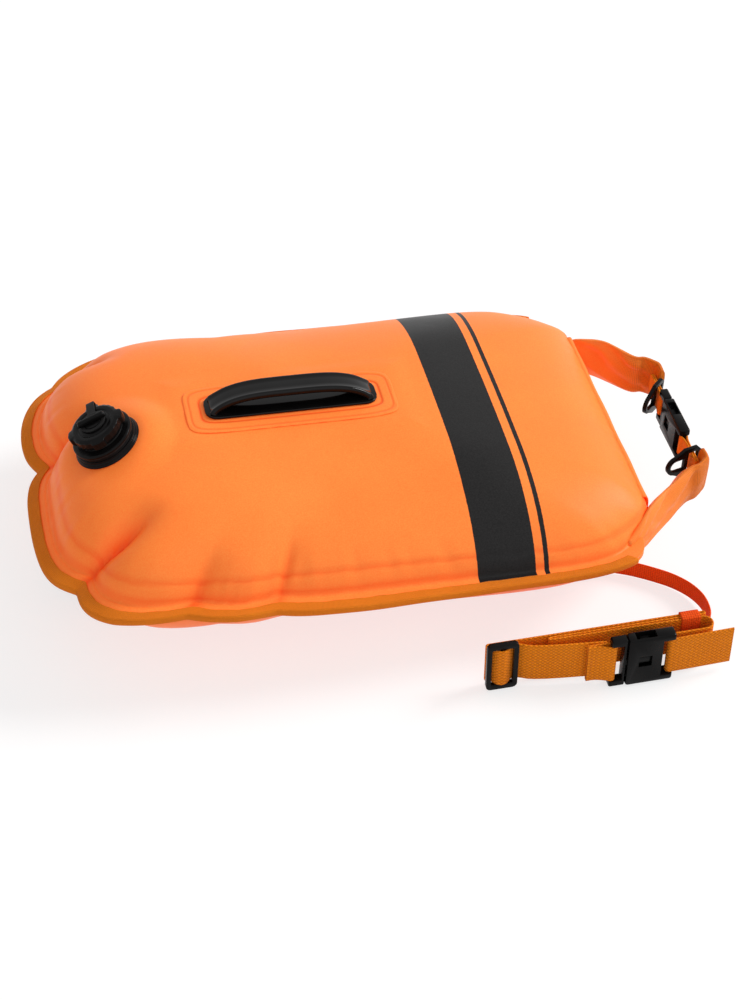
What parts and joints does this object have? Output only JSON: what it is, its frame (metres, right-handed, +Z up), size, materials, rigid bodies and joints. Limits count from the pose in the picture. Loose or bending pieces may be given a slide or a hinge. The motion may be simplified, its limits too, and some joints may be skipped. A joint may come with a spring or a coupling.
{
  "type": "open water swim buoy",
  "caption": "Inflatable dry bag swim buoy with a rolled mouth buckled into a loop, screw valves, a moulded handle, a flat leash and a webbing waist belt.",
  "frame": {"origin": "on the ground plane, under the middle of the box of the bag and its buckled loop, without the leash and the belt", "axes": "+X from the valve end to the rolled mouth, +Y to the side away from the belt, +Z up"},
  "size_m": [0.5745, 0.4215, 0.1778],
  "materials": {
    "coated_fabric": "smooth semi-gloss coated nylon",
    "edge_tape": "woven tape",
    "webbing": "plain woven webbing",
    "black_plastic": "moulded, semi-gloss",
    "black_rubber": "smooth, flexible",
    "liner_film": "translucent film"
  },
  "bodies": {
    "bag": {"top_panel": "coated_fabric", "belly_panel": "coated_fabric", "upper_liner": "liner_film", "lower_liner": "liner_film", "seam_binding": "edge_tape", "rolled_mouth": "coated_fabric", "mouth_stiffener": "black_rubber", "far_roll_ear": "coated_fabric", "near_roll_ear": "coated_fabric", "near_closure_tab": "webbing", "closure_buckle_female": "black_plastic", "handle_patch": "coated_fabric", "handle_base": "black_plastic", "handle_grip": "black_plastic", "top_valve_base": "black_plastic", "top_valve_seal": "black_rubber", "top_valve_insert": "black_plastic", "top_valve_grid": "black_plastic", "top_flap_stud": "black_plastic", "bottom_valve_base": "black_plastic", "bottom_valve_seal": "black_rubber", "bottom_valve_insert": "black_plastic", "bottom_valve_grid": "black_plastic", "bottom_flap_stud": "black_plastic", "leash_anchor": "coated_fabric", "leash": "webbing", "leash_loop": "webbing", "belt_strap": "webbing", "belt_triglide": "black_plastic", "belt_buckle_female": "black_plastic"},
    "top_tether": {"top_cap_tether": "black_rubber"},
    "top_cap": {"top_valve_cap": "black_plastic", "top_cap_seal": "black_rubber"},
    "top_flap": {"top_valve_flap": "black_rubber"},
    "bottom_tether": {"bottom_cap_tether": "black_rubber"},
    "bottom_cap": {"bottom_valve_cap": "black_plastic", "bottom_cap_seal": "black_rubber"},
    "bottom_flap": {"bottom_valve_flap": "black_rubber"},
    "closure_half": {"closure_buckle_male": "black_plastic", "far_closure_tab": "webbing", "far_roll_tip": "coated_fabric"},
    "closure_upper_prong": {"closure_upper_prong": "black_plastic"},
    "closure_lower_prong": {"closure_lower_prong": "black_plastic"},
    "far_ring": {"far_ring": "black_plastic"},
    "near_ring": {"near_ring": "black_plastic"},
    "belt_half": {"belt_buckle_male": "black_plastic", "belt_sewn_loop": "webbing"},
    "belt_upper_prong": {"belt_upper_prong": "black_plastic"},
    "belt_lower_prong": {"belt_lower_prong": "black_plastic"}
  },
  "joints": [
    {"name": "top_cap_lift", "type": "slide", "parent": "bag", "child": "top_tether", "axis": [-0.3966, -0.0149, 0.9179], "range_m": [0, 0.00645]},
    {"name": "top_cap_turn", "type": "hinge", "parent": "top_tether", "child": "top_cap", "pos_m": [-0.2155, -0.01597, 0.14355], "axis": [-0.3966, -0.0149, 0.9179], "range_deg": [0, 576]},
    {"name": "top_flap_slide", "type": "slide", "parent": "bag", "child": "top_flap", "axis": [0.3966, 0.0149, -0.9179], "range_m": [0, 0.0017], "stiffness_N_per_m": 60},
    {"name": "bottom_cap_lift", "type": "slide", "parent": "bag", "child": "bottom_tether", "axis": [-0.6077, -0.0144, -0.794], "range_m": [0, 0.00645]},
    {"name": "bottom_cap_turn", "type": "hinge", "parent": "bottom_tether", "child": "bottom_cap", "pos_m": [-0.24196, -0.01795, 0.03526], "axis": [-0.6077, -0.0144, -0.794], "range_deg": [0, 576]},
    {"name": "bottom_flap_slide", "type": "slide", "parent": "bag", "child": "bottom_flap", "axis": [0.6077, 0.0144, 0.794], "range_m": [0, 0.0017], "stiffness_N_per_m": 60},
    {"name": "closure_slide", "type": "slide", "parent": "bag", "child": "closure_half", "axis": [0, 1, 0], "range_m": [0, 0.028]},
    {"name": "belt_slide", "type": "slide", "parent": "bag", "child": "belt_half", "axis": [-1, 0, 0], "range_m": [0, 0.028]},
    {"name": "closure_upper_prong_flex", "type": "hinge", "parent": "closure_half", "child": "closure_upper_prong", "pos_m": [0.27685, 0.0127, 0.07589], "axis": [0.9993, 0, -0.0384], "range_deg": [0, 6], "stiffness_Nm_per_rad": 0.01},
    {"name": "closure_lower_prong_flex", "type": "hinge", "parent": "closure_half", "child": "closure_lower_prong", "pos_m": [0.2762, 0.0127, 0.05891], "axis": [-0.9993, 0, 0.0384], "range_deg": [0, 6], "stiffness_Nm_per_rad": 0.01},
    {"name": "belt_upper_prong_flex", "type": "hinge", "parent": "belt_half", "child": "belt_upper_prong", "pos_m": [0.16706, -0.2315, 0.04062], "axis": [0, 1, 0], "range_deg": [0, 8], "stiffness_Nm_per_rad": 0.01},
    {"name": "belt_lower_prong_flex", "type": "hinge", "parent": "belt_half", "child": "belt_lower_prong", "pos_m": [0.16706, -0.2315, 0.01138], "axis": [0, -1, 0], "range_deg": [0, 8], "stiffness_Nm_per_rad": 0.01},
    {"name": "far_ring_swing", "type": "hinge", "parent": "closure_half", "child": "far_ring", "pos_m": [0.27653, 0.0404, 0.0674], "axis": [0.0384, 0, 0.9993], "range_deg": [-45, 3]},
    {"name": "near_ring_swing", "type": "hinge", "parent": "bag", "child": "near_ring", "pos_m": [0.27653, -0.053, 0.0674], "axis": [0.0384, 0, 0.9993], "range_deg": [-45, 30]}
  ],
  "couplings": [
    {"joint": "top_cap_turn", "follows": "top_cap_lift", "rad_per_m": 1558.6},
    {"joint": "bottom_cap_turn", "follows": "bottom_cap_lift", "rad_per_m": 1558.6}
  ]
}
